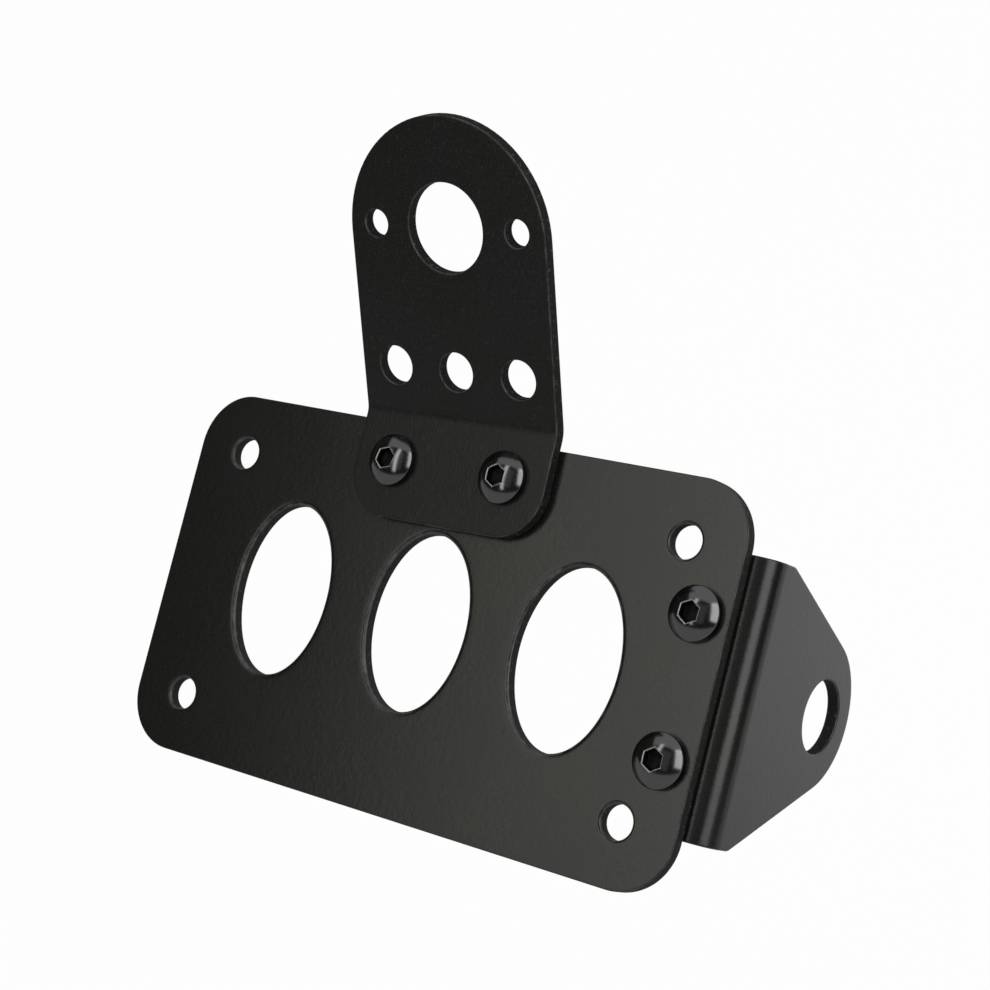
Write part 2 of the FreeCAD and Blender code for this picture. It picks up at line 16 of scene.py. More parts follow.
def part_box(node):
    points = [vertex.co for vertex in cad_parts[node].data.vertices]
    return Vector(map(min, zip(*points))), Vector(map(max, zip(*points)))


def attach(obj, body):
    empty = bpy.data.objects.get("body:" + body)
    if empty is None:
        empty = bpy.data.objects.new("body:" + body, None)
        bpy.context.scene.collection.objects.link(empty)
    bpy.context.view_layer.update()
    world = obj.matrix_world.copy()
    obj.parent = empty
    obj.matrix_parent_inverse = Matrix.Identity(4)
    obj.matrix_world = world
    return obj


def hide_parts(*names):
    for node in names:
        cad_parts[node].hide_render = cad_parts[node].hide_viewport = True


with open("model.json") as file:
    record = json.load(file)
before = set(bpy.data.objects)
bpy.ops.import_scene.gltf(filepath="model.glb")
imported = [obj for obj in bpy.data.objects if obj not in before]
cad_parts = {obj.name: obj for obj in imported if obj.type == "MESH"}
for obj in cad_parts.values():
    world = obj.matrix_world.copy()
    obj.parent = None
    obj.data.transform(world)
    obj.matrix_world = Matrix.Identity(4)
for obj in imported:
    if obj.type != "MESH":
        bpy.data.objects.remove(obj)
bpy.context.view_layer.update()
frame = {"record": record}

bl_info = {
    "name": "Side Mount Number Plate Holder",
    "version": (1, 0, 0),
    "blender": (4, 5, 0),
    "location": "3D View > Sidebar > Plate Holder",
    "description": "Builds a folded steel number plate holder, its fasteners and a plain studio",
    "category": "Object",
}

MM = 0.001
BODY = "root"

# What the packed frame says about the real interfaces and the flat sheet
MOUNTS = {mount["name"]: mount for mount in frame["record"]["mounts"]}
PLATE_HOLES = MOUNTS["number_plate_holes"]["dims"]
PLATE_HOLES_PLACE = Vector(MOUNTS["number_plate_holes"]["pos_m"])
PLATE_BORE = 2 * PLATE_HOLES["hole_r_mm"] * MM
LAMP_BORE = 2 * MOUNTS["lamp_hole"]["dims"]["r_mm"] * MM
STUD_BORE = 2 * MOUNTS["lamp_stud_holes"]["dims"]["hole_r_mm"] * MM
STUD_CIRCLE = MOUNTS["lamp_stud_holes"]["dims"]["pcd_mm"] * MM
ROW_BORE = 2 * MOUNTS["row_hole_middle"]["dims"]["r_mm"] * MM
AXLE_BORE = 2 * MOUNTS["axle_bore"]["dims"]["r_mm"] * MM
CARRIER_LOW, CARRIER_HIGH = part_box("number_plate_carrier")
GAUGE = CARRIER_HIGH.y - CARRIER_LOW.y

# Where each fastener stands, and how its socket and its nut are turned, in degrees
JOINTS = (
    ("lamp", "left", 18.0, 8.0),
    ("lamp", "right", 31.0, 25.0),
    ("side", "upper", 27.0, 30.0),
    ("side", "lower", 32.0, 12.0),
)

# How finely lines are drawn: points around a closed line, turn of an arc per point, steps in a
# fold, the angle from which an edge stays sharp, and how close points are taken for one
OVAL_POINTS, BORE_POINTS, HOLE_POINTS, TURNED_POINTS = 144, 120, 72, 96
ARC_STEP = math.radians(4.0)
LAMP_FOLD_STEPS, SIDE_FOLD_STEPS = 14, 18
CREASE = math.radians(32.0)
SAME, SAME_ON_THREAD = 1e-7, 2e-6

# Wear across the rounding of a cut edge, from the face to the wall
RIM_WEAR = (0.3, 0.6, 0.9, 1.0, 1.0, 0.5)

# Noises as (waves per metre, detail, roughness): cloud, scuffs, orange peel and specks of the
# coat, its grain, cloud and ripple of the plating, cloud of the floor; and heights in metres
COAT_NOISES = ((38.0, 4.0, 0.6), (260.0, 4.0, 0.7), (620.0, 2.0, 0.55), (900.0, 3.0, 0.7))
GRAIN_NOISE = (1600.0, 2.0, 0.6)
PLATING_NOISES = ((300.0, 4.0, 0.6), (2600.0, 3.0, 0.6))
FLOOR_NOISE = (3.0, 2.0, 0.5)
PEEL_HEIGHT, COAT_GRAIN, DEEP_GRAIN = 3e-5, 1e-5, 7e-5
SCREW_RIPPLE, NUT_RIPPLE = 2e-6, 6e-6

# Gloss level of the coat and of the grained coat
COAT_SHINE, GRAINED_SHINE = 0.5, 0.34

# Gain and offset that turn a noise about a half into a mask: for cloud, for painted glints along
# the grain, and for chipped coat with painted glints on cut walls
CLOUD_MASK = (3.0, -1.1)
GLINT_MASK = (4.0, -2.3)
CHIP_AND_GLINT_MASK = (7.0, -4.1)

# The thread: where its shank starts inside the head, flat shares of a turn at the root and at the
# crest, rows of points in a turn, and turns that are drawn before and past the shank
SHANK_SUNK = 0.4 * MM
ROOT, CREST = 0.25, 0.125
TURN_ROWS, TURN_COLUMNS = 8, 41
TURNS_BEFORE, TURNS_PAST = 2.0, 1.0

# The backdrop in metres, and the height over which its grey in gloss turns from floor to wall
FLOOR, WALL_TOP, FRONT, WALL, WALL_BEND, HALF_WIDTH = -0.25, 1.6, -0.35, 1.3, 0.35, 3.0
BEND_STEPS = 16
FADE_HEIGHT = 0.3

# Each lamp with its strength, azimuth and elevation in degrees, then distance, width and height
LAMPS = (
    ("side_softbox", "side", 62.0, 17.0, 0.95, 0.56, 0.9),
    ("front_softbox", "front", -26.5, 8.0, 1.0, 0.34, 0.9),
    ("top_softbox", "top", 5.0, 70.0, 1.05, 1.8, 1.05),
    ("haze_panel", "haze", 12.0, 4.0, 1.5, 0.9, 1.6),
    ("near_lamp", "near", 3.4, 9.0, 0.254, 0.05, 0.38),
    ("fill_light", "fill", 0.0, 15.0, 2.0, 1.6, 1.6),
)
FRONT_TINT = (1.0, 1.0, 0.92)
WHITE = (1.0, 1.0, 1.0, 1.0)

# The camera: its place, the directions of its right and upper side, its lens and sensor in mm
CAMERA_PLACE = (0.23185, -0.4868, -0.0056)
CAMERA_RIGHT = Vector((0.80110175, 0.54592011, 0.24537159))
CAMERA_UP = Vector((-0.15840694, -0.20195527, 0.96649951))
LENS, SENSOR = 75.78, 36.0


# Sizes and colours that a user would change


def length(name, description, default_mm):
    """A length property, its default given in millimetres."""
    return FloatProperty(name=name, description=description, default=default_mm * MM, unit="LENGTH",
                         subtype="DISTANCE", precision=5, min=0.0)


def share(name, description, default):
    """A property between nought and one."""
    return FloatProperty(name=name, description=description, default=default, subtype="FACTOR",
                         min=0.0, max=1.0)


def angle(name, description, default):
    """An angle property, its default given in degrees."""
    return FloatProperty(name=name, description=description, default=math.radians(default),
                         subtype="ANGLE", unit="ROTATION")


def colour(name, description, default):
    """A linear colour property."""
    return FloatVectorProperty(name=name, description=description, default=default, size=3,
                               subtype="COLOR", min=0.0, max=1.0)


def strength(name, description, default):
    """The power of a lamp, in watts."""
    return FloatProperty(name=name, description=description, default=default, unit="POWER",
                         min=0.0)


class CarrierSizes(bpy.types.PropertyGroup):
    """Sizes of the flat carrier that its mounts don't give."""
    corner: length("Corner", "Radius of the four outer corners", 15.5)
    oval_width: length("Oval width", "Width of each oval opening", 31.6)
    oval_height: length("Oval height", "Height of each oval opening", 47.6)
    oval_pitch: length("Oval pitch", "Distance between the ovals' centres", 47.4)
    outer_rim: length("Outer rim", "Rounding of the carrier's outer edge", 0.3)
    rim: length("Rim", "Rounding of every other cut edge, also of the brackets", 0.5)
    roll: length("Roll", "Width of the dished front edge of the ovals", 1.5)
    roll_depth: length("Roll depth", "Depth of the dished front edge of the ovals", 0.8)
    hole_roll: length("Hole roll", "Dished front edge of the number plate holes", 0.9)
    band: length("Band", "Width of the strip along a cut edge where the coat wears", 1.3)


class LampBracketSizes(bpy.types.PropertyGroup):
    """Sizes of the bracket that holds the tail lamp."""
    shift: length("Shift", "From the carrier's middle to the bracket's, to the right", 0.5)
    inset: length("Inset", "From the carrier's upper edge down to the screws", 10.4)
    pitch: length("Pitch", "Distance between the two screws", 36.2)
    width: length("Width", "Width of the bracket", 62.2)
    drop: length("Drop", "From the screws to the tab's lower edge", 15.4)
    corner: length("Corner", "Radius of the tab's lower corners", 13.0)
    fold_rise: length("Fold rise", "From the screws to the fold line", 13.2)
    fold_inside: length("Fold radius", "Inner radius of the fold", 5.0)
    arch_rise: length("Arch rise", "From the fold line to the centre of the round top", 49.0)
    lamp_rise: length("Lamp rise", "From the fold line to the lamp hole", 51.2)
    row_rise: length("Row rise", "From the fold line to the row of three holes", 13.1)
    row_pitch: length("Row pitch", "Distance between neighbours in the row of three holes", 20.0)
    lean: angle("Lean", "How far the lamp face leans out of the carrier's plane", 29.1)
    turn: angle("Turn", "Turn of the whole bracket in the carrier's plane", 1.4)


class SideBracketSizes(bpy.types.PropertyGroup):
    """Sizes of the angle bracket that slides over the axle."""
    inset: length("Inset", "From the carrier's right edge to the screws", 9.0)
    pitch: length("Pitch", "Distance between the two screws", 36.2)
    height: length("Height", "Height of the fold", 70.4)
    fold_proud: length("Fold proud", "From the carrier's right edge to the wall's outer face", 6.7)
    fold_inside: length("Fold radius", "Inner radius of the fold", 3.0)
    leg_reach: length("Leg reach", "From the wall's outer face to the leg's far edge", 27.7)
    leg_end_height: length("Leg end", "Height of the leg's far edge", 48.0)
    leg_shoulder: length("Leg shoulder", "From the wall's outer face to the leg's narrowing", 10.5)
    shoulder: length("Shoulder", "From the leg's mating face to where the wall narrows", 11.0)
    corner: length("Corner", "Radius of the shoulders and of the leg's corners", 4.0)
    tip_radius: length("Tip radius", "Radius of the wall's round tip", 20.3)
    tip_setback: length("Tip setback", "From the leg's mating face to the tip's centre", 39.5)
    bore_setback: length("Bore setback", "From the leg's mating face to the axle bore", 43.6)


class FastenerSizes(bpy.types.PropertyGroup):
    """Sizes of the button head screws, washers and nuts."""
    thread: length("Thread", "Outer diameter of the thread", 8.0)
    pitch: length("Pitch", "Rise of the thread in one turn", 1.25)
    thread_depth: length("Thread depth", "Depth of the thread", 0.767)
    play: length("Play", "How much wider than the thread a screw hole is", 0.8)
    shank: length("Shank", "Length of the screw under its head", 20.0)
    chamfer: length("End chamfer", "Chamfer at the screw's end", 1.0)
    head_width: length("Head width", "Diameter of the head", 14.0)
    head_height: length("Head height", "Height of the head", 4.4)
    head_rim: length("Head rim", "Straight rim of the head", 1.7)
    socket: length("Socket", "Width of the hexagon socket across its flats", 5.0)
    socket_mouth: length("Socket mouth", "Width of the socket's chamfer across its flats", 5.5)
    socket_depth: length("Socket depth", "Depth of the hexagon socket", 2.6)
    washer_width: length("Washer width", "Outer diameter of the washer", 16.0)
    washer_bore: length("Washer bore", "Inner diameter of the washer", 8.4)
    washer_gauge: length("Washer thickness", "Thickness of the washer", 1.6)
    nut_width: length("Nut width", "Width of the nut across its flats", 13.0)
    nut_height: length("Nut height", "Height of the nut", 6.5)
    nut_bore: length("Nut bore", "Bore of the nut", 8.2)
    nut_lean: angle("Nut chamfer", "Lean of the nut's corner chamfers", 30.0)


class FinishSettings(bpy.types.PropertyGroup):
    """Colours and gloss of the coat and the plating."""
    coat: colour("Coat", "Powder coat on the sheets", (0.0033, 0.0036, 0.0022))
    coat_cloud: colour("Cloudy coat", "Coat where it lies thicker", (0.0034, 0.0035, 0.0042))
    # The worn coat colour also paints highlights: glints along the grain and on the cut walls
    coat_worn_and_glint: colour("Worn coat", "Coat where it is rubbed along the edges", (0.13, 0.13, 0.125))
    coat_rough: share("Coat roughness", "Roughness of the powder coat", 0.27)
    grained_rough: share("Grained roughness", "Roughness of the lamp bracket's grained coat", 0.42)
    cut_rough: share("Cut roughness", "Roughness of the coat inside a cut", 0.85)
    plating: colour("Plating", "Black plating on the screws", (0.118, 0.119, 0.122))
    plating_worn: colour("Worn plating", "Plating on a socket's sharp edge", (0.42, 0.42, 0.41))
    # Painted shade deep in a socket
    plating_socket_shade: colour("Plating inside", "Plating deep in a socket", (0.012, 0.012, 0.012))
    plating_rough: share("Plating roughness", "Roughness of the plating on the screws", 0.17)
    nut_plating: colour("Nut plating", "Duller plating on washers and nuts", (0.09, 0.09, 0.093))
    nut_rough: share("Nut roughness", "Roughness of the plating on washers and nuts", 0.34)


class StudioSettings(bpy.types.PropertyGroup):
    """Strengths of the lamps and the tone of the floor."""
    side: strength("Side light", "Softbox at the right", 4.5)
    front: strength("Front light", "Narrow softbox at the front left", 1.5)
    top: strength("Top light", "Large panel overhead", 3.9)
    near: strength("Near light", "Small lamp in front of the lamp bracket's tab", 0.17)
    haze: strength("Haze", "Faint broad panel beside the camera", 0.8)
    fill: strength("Fill light", "Broad light from the front that shows in no gloss", 12.0)
    floor: colour("Floor", "Colour of the floor and the backdrop", (0.86, 0.86, 0.86))
    foot: share("Floor in gloss", "How bright the floor is in reflections", 0.5)
    wall: share("Wall in gloss", "How bright the top of the wall is in reflections", 1.0)
    dim: colour("Room", "Colour of the room outside the lamps", (0.048, 0.048, 0.043))


# Shader and geometry maths as Python expressions


class Wire:
    """A node's output that takes part in Python arithmetic by adding Math nodes."""

    def __init__(self, tree, socket):
        self.tree = tree
        self.socket = socket

    def math(self, operation, *others):
        return self.tree.add("ShaderNodeMath", {"operation": operation},
                             dict(enumerate((self, *others))))

    def __add__(self, other):
        return self.math("ADD", other)

    __radd__ = __add__

    def __sub__(self, other):
        return self.math("SUBTRACT", other)

    def __rsub__(self, other):
        return self.tree.add("ShaderNodeMath", {"operation": "SUBTRACT"}, {0: other, 1: self})

    def __mul__(self, other):
        return self.math("MULTIPLY", other)

    __rmul__ = __mul__

    def __truediv__(self, other):
        return self.math("DIVIDE", other)

    def lesser(self, other):
        return self.math("MINIMUM", other)

    def greater(self, other):
        return self.math("MAXIMUM", other)

    def clamped(self):
        return self.greater(0.0).lesser(1.0)

    def mask(self, gain, offset):
        return (self * gain + offset).clamped()


class Tree:
    """A node tree whose nodes all come from one method."""

    def __init__(self, nodes):
        self.nodes = nodes.nodes
        self.links = nodes.links

    def add(self, kind, settings=None, inputs=None, output=0):
        """One node: its settings first, then the values or links of its sockets."""
        node = self.nodes.new(kind)
        for name, value in (settings or {}).items():
            setattr(node, name, value)
        for name, value in (inputs or {}).items():
            if isinstance(value, Wire):
                self.links.new(value.socket, node.inputs[name])
            else:
                node.inputs[name].default_value = value
        return Wire(self, node.outputs[output]) if node.outputs else None

    def noise(self, place, scale, detail, roughness):
        """Smooth noise about a half, with its scale in waves per metre."""
        return self.add("ShaderNodeTexNoise", inputs={
            "Vector": place, "Scale": scale, "Detail": detail, "Roughness": roughness})

    def mixed(self, factor, first, second):
        """A colour between two, by a factor."""
        return self.add("ShaderNodeMix", {"data_type": "RGBA"},
                        {0: factor, 6: first, 7: second}, 2)

    def attribute(self, name):
        """A number that the mesh carries at its corners."""
        return self.add("ShaderNodeAttribute", {"attribute_name": name}, output="Fac")

    def bump(self, height, distance, under=None):
        """A normal from a height, over another bump if there is one."""
        sockets = {"Height": height, "Distance": distance}
        if under is not None:
            sockets["Normal"] = under
        return self.add("ShaderNodeBump", inputs=sockets)


def opaque(tone):
    """A linear colour with its alpha."""
    return (*tone, 1.0)


def empty_tree(holder):
    """The emptied node tree of a material or a world."""
    holder.use_nodes = True
    holder.node_tree.nodes.clear()
    return Tree(holder.node_tree)


def new_material(name):
    """A new material and its empty tree."""
    material = bpy.data.materials.new(name)
    return material, empty_tree(material)


def make_coat(name, finish, rough_face, grain_height, shine):
    """Black powder coat: orange peel, upright grain with painted glints, rubbed rims, and dull cut
    walls with chipped coat and painted glints.
    """
    most_rubbed, most_chip_and_glint, glint_per_metre = 0.6, 0.7, 1800.0
    material, tree = new_material(name)
    place = tree.add("ShaderNodeTexCoord", output="Object")
    upright = tree.add("ShaderNodeMapping", inputs={"Vector": place, "Scale": (1.0, 1.0, 0.25)})
    edge, cut = tree.attribute("edge"), tree.attribute("cut")
    cloud, scuff, peel, speck = [tree.noise(place, *noise) for noise in COAT_NOISES]
    grain = tree.noise(upright, *GRAIN_NOISE)

    # Wear starts where the rim and the scuffs together pass a level
    rubbed = (edge * 1.6 + scuff * 2.2 - 2.3).clamped() * most_rubbed
    # Light streaks along the grain are painted glints, in the worn coat colour
    glint = grain.mask(*GLINT_MASK) * (grain_height * glint_per_metre)
    # Light specks on the cut walls are chipped coat and painted glints
    chip_and_glint = speck.mask(*CHIP_AND_GLINT_MASK) * most_chip_and_glint * cut
    tone = tree.mixed(cloud.mask(*CLOUD_MASK), opaque(finish.coat), opaque(finish.coat_cloud))
    # Rubbed rims, painted glints along the grain and the chipped, glinting cut walls all take the
    # worn coat colour
    tone = tree.mixed(rubbed.greater(glint).greater(chip_and_glint), tone, opaque(finish.coat_worn_and_glint))
    normal = tree.bump(grain, grain_height, under=tree.bump(peel, PEEL_HEIGHT))

    # The noises lie about a half, so half of what they add is taken off first
    face = rough_face - 0.05 + cloud * 0.06 + speck * 0.05 + rubbed * 0.15
    rough = face + (finish.cut_rough - face) * cut
    shader = tree.add("ShaderNodeBsdfPrincipled", inputs={
        "Base Color": tone, "Roughness": rough, "Normal": normal, "Specular IOR Level": shine})
    tree.add("ShaderNodeOutputMaterial", inputs={"Surface": shader})
    return material


def make_plating(name, tone, finish, rough, ripple):
    """Black plating on turned steel, bright on a rubbed edge, and dull and darkened by painted
    shade deep in a socket.
    """
    material, tree = new_material(name)
    place = tree.add("ShaderNodeTexCoord", output="Object")
    edge = tree.attribute("edge")
    cloud, fine = [tree.noise(place, *noise) for noise in PLATING_NOISES]
    rubbed = (edge * 1.5 + cloud * 0.9 - 0.9).clamped()
    # Below nought the edge value paints shade deep in a socket: darker, duller plating there
    inside = (0.0 - edge).clamped()
    colour_now = tree.mixed(rubbed, opaque(tone), opaque(finish.plating_worn))
    colour_now = tree.mixed(inside, colour_now, opaque(finish.plating_socket_shade))
    shader = tree.add("ShaderNodeBsdfPrincipled", inputs={
        "Base Color": colour_now, "Metallic": 1.0,
        "Roughness": rough - 0.04 + cloud * 0.08 + rubbed * 0.5 + inside * 0.35,
        "Normal": tree.bump(fine, ripple)})
    tree.add("ShaderNodeOutputMaterial", inputs={"Surface": shader})
    return material


def finish_of(kind):
    """The material of a kind of finish, made when it is first asked for."""
    name = f"worked_{kind}"
    if name in bpy.data.materials:
        return bpy.data.materials[name]
    finish = bpy.context.scene.plate_holder_finish
    if kind == "powder_coat":
        return make_coat(name, finish, finish.coat_rough, COAT_GRAIN, COAT_SHINE)
    if kind == "grained_coat":
        return make_coat(name, finish, finish.grained_rough, DEEP_GRAIN, GRAINED_SHINE)
    if kind == "screw_plating":
        return make_plating(name, finish.plating, finish, finish.plating_rough, SCREW_RIPPLE)
    return make_plating(name, finish.nut_plating, finish, finish.nut_rough, NUT_RIPPLE)


# Meshes


def smooth_mesh(name, work):
    """The mesh that was worked on, under its name and shaded smooth."""
    mesh = bpy.data.meshes.new(name)
    work.to_mesh(mesh)
    work.free()
    mesh.shade_smooth()
    return mesh


def add_object(name, data):
    """An object for a mesh, a lamp or the camera, linked into the scene."""
    piece = bpy.data.objects.new(name, data)
    bpy.context.scene.collection.objects.link(piece)
    return piece


def settle(piece):
    """The piece with its modifiers turned into a plain mesh."""
    graph = bpy.context.evaluated_depsgraph_get()
    plain = bpy.data.meshes.new_from_object(piece.evaluated_get(graph), depsgraph=graph)
    piece.modifiers.clear()
    piece.data = plain
    return piece


def hand_over(piece, node, slot, finish=None):
    """The finished piece takes the place and the finish of its packed node."""
    if not piece.data.materials:
        piece.data.materials.append(finish_of(finish or slot))
    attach(piece, BODY)
    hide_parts(node)


def rounded_loop(corners):
    """A closed line, anticlockwise through corners (u, v, radius), each an arc of its radius."""
    line = []
    count = len(corners)
    for index, (u, v, radius) in enumerate(corners):
        here = Vector((u, v))
        if radius == 0.0:
            line.append(here)
            continue
        before = (Vector(corners[index - 1][:2]) - here).normalized()
        after = (Vector(corners[(index + 1) % count][:2]) - here).normalized()
        half = before.angle(after) / 2
        centre = here + (before + after).normalized() * radius / math.sin(half)
        arm = here + before * radius / math.tan(half) - centre
        line += arc(centre, arm, math.pi - 2 * half)
    return line


def arc(centre, arm, sweep):
    """Points of an arc that starts at the end of an arm from its centre."""
    steps = max(2, math.ceil(abs(sweep) / ARC_STEP))
    return [centre + Matrix.Rotation(sweep * turn / steps, 2) @ arm for turn in range(steps + 1)]


def oval(u, v, width, height, count):
    """A closed oval line, anticlockwise."""
    angles = [math.tau * turn / count for turn in range(count)]
    return [Vector((u + width / 2 * math.cos(a), v + height / 2 * math.sin(a))) for a in angles]


def hole(u, v, diameter, count=HOLE_POINTS):
    """A closed round line, anticlockwise."""
    return oval(u, v, diameter, diameter, count)


def screw_hole(scene, u, v):
    """The line of a screw hole, wider than the thread by its play."""
    sizes = scene.plate_holder_fasteners
    return hole(u, v, sizes.thread + sizes.play)


def outward(line):
    """The normals of a closed anticlockwise line, pointing out of it."""
    normals = []
    for index, here in enumerate(line):
        coming = (here - line[index - 1]).normalized()
        going = (line[(index + 1) % len(line)] - here).normalized()
        along = (coming + going).normalized()
        normals.append(Vector((along.y, -along.x)))
    return normals


def rim_profile(roll, rim, band):
    """The section of a cut edge from front to back, as (inset, depth, wear, cut)."""
    last = len(RIM_WEAR) - 1

    def rounding(width, drop):
        """From the band on the face to the wall."""
        line = [(width + band, 0.0, 0.0, 0.0)]
        for step, wear in enumerate(RIM_WEAR):
            lift = math.pi / 2 * step / last
            cut = 1.0 if step == last else 0.0
            line.append((width * (1 - math.sin(lift)), drop * (1 - math.cos(lift)), wear, cut))
        return line

    back = [(inset, GAUGE - depth, wear, cut)
            for inset, depth, wear, cut in reversed(rounding(rim, rim))]
    return rounding(*roll) + back


def sheet_blank(outline, holes, rim, band):
    """A flat sheet, u and v in its plane and depth from 0 at its front face.

    Each hole is a line with the width and depth of its front rounding.
    """
    blank = bmesh.new()
    wear_layer = blank.verts.layers.float.new("edge")
    cut_layer = blank.verts.layers.float.new("cut")
    edges_cut = [(outline, (rim, rim), 1.0)] + [(line, roll, -1.0) for line, roll in holes]
    face_edges = {0: [], -1: []}
    for line, roll, side in edges_cut:
        normals = outward(line)
        rings = []
        for inset, depth, wear, cut in rim_profile(roll, min(rim, roll[0]), band):
            ring = []
            for here, normal in zip(line, normals):
                spot = here - normal * inset * side
                corner = blank.verts.new((spot.x, spot.y, depth))
                corner[wear_layer] = wear
                corner[cut_layer] = cut
                ring.append(corner)
            rings.append(ring)
        for near, far in zip(rings, rings[1:]):
            close_ring(blank, near, far)
        for level, edges in face_edges.items():
            ring = rings[level]
            edges += [blank.edges.get((ring[index - 1], ring[index]))
                      for index in range(len(ring))]
    for edges in face_edges.values():
        bmesh.ops.triangle_fill(blank, use_beauty=True, edges=edges)
    bmesh.ops.recalc_face_normals(blank, faces=blank.faces)
    return blank


def close_ring(mesh, near, far):
    """A band of faces between two rings of as many points."""
    for index in range(len(near)):
        mesh.faces.new((near[index - 1], near[index], far[index], far[index - 1]))


def bracket_blank(corners, lines, edge, along, start, neutral, steps):
    """A blank with plain holes, cut across so that it can follow its fold along u or v."""
    holes = [(line, (edge.rim, edge.rim)) for line in lines]
    blank = sheet_blank(rounded_loop(corners), holes, edge.rim, edge.band)
    for step in range(steps + 1):
        every = blank.verts[:] + blank.edges[:] + blank.faces[:]
        at = along * (start + neutral * step / steps)
        bmesh.ops.bisect_plane(blank, geom=every, plane_co=at, plane_no=along, dist=SAME)
    return blank


def folded(advance, depth, start, bend, inside, to_front):
    """Where a point of the blank comes to lie: how far along the unfolded end and how deep."""
    neutral = bend * (inside + GAUGE / 2)
    if advance <= start:
        return advance, depth
    turned = min((advance - start) / neutral, 1.0) * bend
    rest = max(advance - start - neutral, 0.0)
    if to_front:
        radius, centre, sign = inside + depth, -inside, 1.0
    else:
        radius, centre, sign = inside + GAUGE - depth, GAUGE + inside, -1.0
    along = start + radius * math.sin(turned) + rest * math.cos(turned)
    deep = centre + sign * (radius * math.cos(turned) - rest * math.sin(turned))
    return along, deep


def sheet_piece(node, blank, settle_point, finish="powder_coat"):
    """The blank moved to its place, with the shading of a pressed sheet."""
    for corner in blank.verts:
        corner.co = settle_point(corner.co)
    bmesh.ops.recalc_face_normals(blank, faces=blank.faces)
    piece = add_object(f"{node}_sheet", smooth_mesh(f"{node}_sheet", blank))
    piece.modifiers.new("Flat faces", "WEIGHTED_NORMAL")
    hand_over(settle(piece), node, "powder_coat", finish)


def joint_places(scene):
    """Each joint's place in the carrier's plane, as (x, z)."""
    lamp = scene.plate_holder_lamp
    side = scene.plate_holder_side
    lamp_x = PLATE_HOLES_PLACE.x + lamp.shift
    lamp_z = CARRIER_HIGH.z - lamp.inset
    half = Vector((math.cos(lamp.turn), math.sin(lamp.turn))) * lamp.pitch / 2
    side_x = CARRIER_HIGH.x - side.inset
    return {
        ("lamp", "left"): (lamp_x - half.x, lamp_z - half.y),
        ("lamp", "right"): (lamp_x + half.x, lamp_z + half.y),
        ("side", "upper"): (side_x, PLATE_HOLES_PLACE.z + side.pitch / 2),
        ("side", "lower"): (side_x, PLATE_HOLES_PLACE.z - side.pitch / 2),
    }


class PLATEHOLDER_OT_carrier(bpy.types.Operator):
    """Cut the flat carrier with its ovals, plate holes and screw holes"""
    bl_idname = "plateholder.carrier"
    bl_label = "Number Plate Carrier"

    def execute(self, context):
        scene = context.scene
        sizes = scene.plate_holder_carrier
        low, high = CARRIER_LOW, CARRIER_HIGH
        corners = ((low.x, low.z), (high.x, low.z), (high.x, high.z), (low.x, high.z))
        outline = rounded_loop([(x, z, sizes.corner) for x, z in corners])
        middle = PLATE_HOLES_PLACE
        holes = []
        for column in (-1, 0, 1):
            line = oval(middle.x + column * sizes.oval_pitch, middle.z,
                        sizes.oval_width, sizes.oval_height, OVAL_POINTS)
            holes.append((line, (sizes.roll, sizes.roll_depth)))
        for across in (-0.5, 0.5):
            for up in (-0.5, 0.5):
                line = hole(middle.x + across * PLATE_HOLES["spacing_x_mm"] * MM,
                            middle.z + up * PLATE_HOLES["spacing_y_mm"] * MM, PLATE_BORE)
                holes.append((line, (sizes.hole_roll, sizes.hole_roll)))
        for x, z in joint_places(scene).values():
            holes.append((screw_hole(scene, x, z), (sizes.rim, sizes.rim)))
        blank = sheet_blank(outline, holes, sizes.outer_rim, sizes.band)
        sheet_piece("number_plate_carrier", blank, lambda at: Vector((at.x, low.y + at.z, at.y)))
        return {"FINISHED"}


class PLATEHOLDER_OT_lamp_bracket(bpy.types.Operator):
    """Cut and fold the bracket that holds the tail lamp"""
    bl_idname = "plateholder.lamp_bracket"
    bl_label = "Lamp Bracket"

    def execute(self, context):
        scene = context.scene
        sizes = scene.plate_holder_lamp
        setback = sizes.fold_inside * math.tan(sizes.lean / 2)
        start = sizes.fold_rise - setback
        neutral = sizes.lean * (sizes.fold_inside + GAUGE / 2)
        foot = start + neutral - setback
        half = sizes.width / 2
        arch = Vector((0.0, foot + sizes.arch_rise))
        corners = [(-half, -sizes.drop, sizes.corner), (half, -sizes.drop, sizes.corner)]
        corners += [(*spot, 0.0) for spot in arc(arch, Vector((half, 0.0)), math.pi)]
        lamp_v = foot + sizes.lamp_rise
        holes = [screw_hole(scene, side * sizes.pitch / 2, 0.0) for side in (-1, 1)]
        holes.append(hole(0.0, lamp_v, LAMP_BORE, BORE_POINTS))
        holes += [hole(side * STUD_CIRCLE / 2, lamp_v, STUD_BORE) for side in (-1, 1)]
        holes += [hole(column * sizes.row_pitch, foot + sizes.row_rise, ROW_BORE)
                  for column in (-1, 0, 1)]
        blank = bracket_blank(corners, holes, scene.plate_holder_carrier, Vector((0.0, 1.0, 0.0)),
                              start, neutral, LAMP_FOLD_STEPS)
        around = Matrix.Rotation(-sizes.turn, 4, "Y")
        seat = Vector((PLATE_HOLES_PLACE.x + sizes.shift, CARRIER_LOW.y - GAUGE,
                       CARRIER_HIGH.z - sizes.inset))

        def place(at):
            up, depth = folded(at.y, at.z, start, sizes.lean, sizes.fold_inside, True)
            return seat + around @ Vector((at.x, depth, up))

        sheet_piece("lamp_bracket", blank, place, "grained_coat")
        return {"FINISHED"}


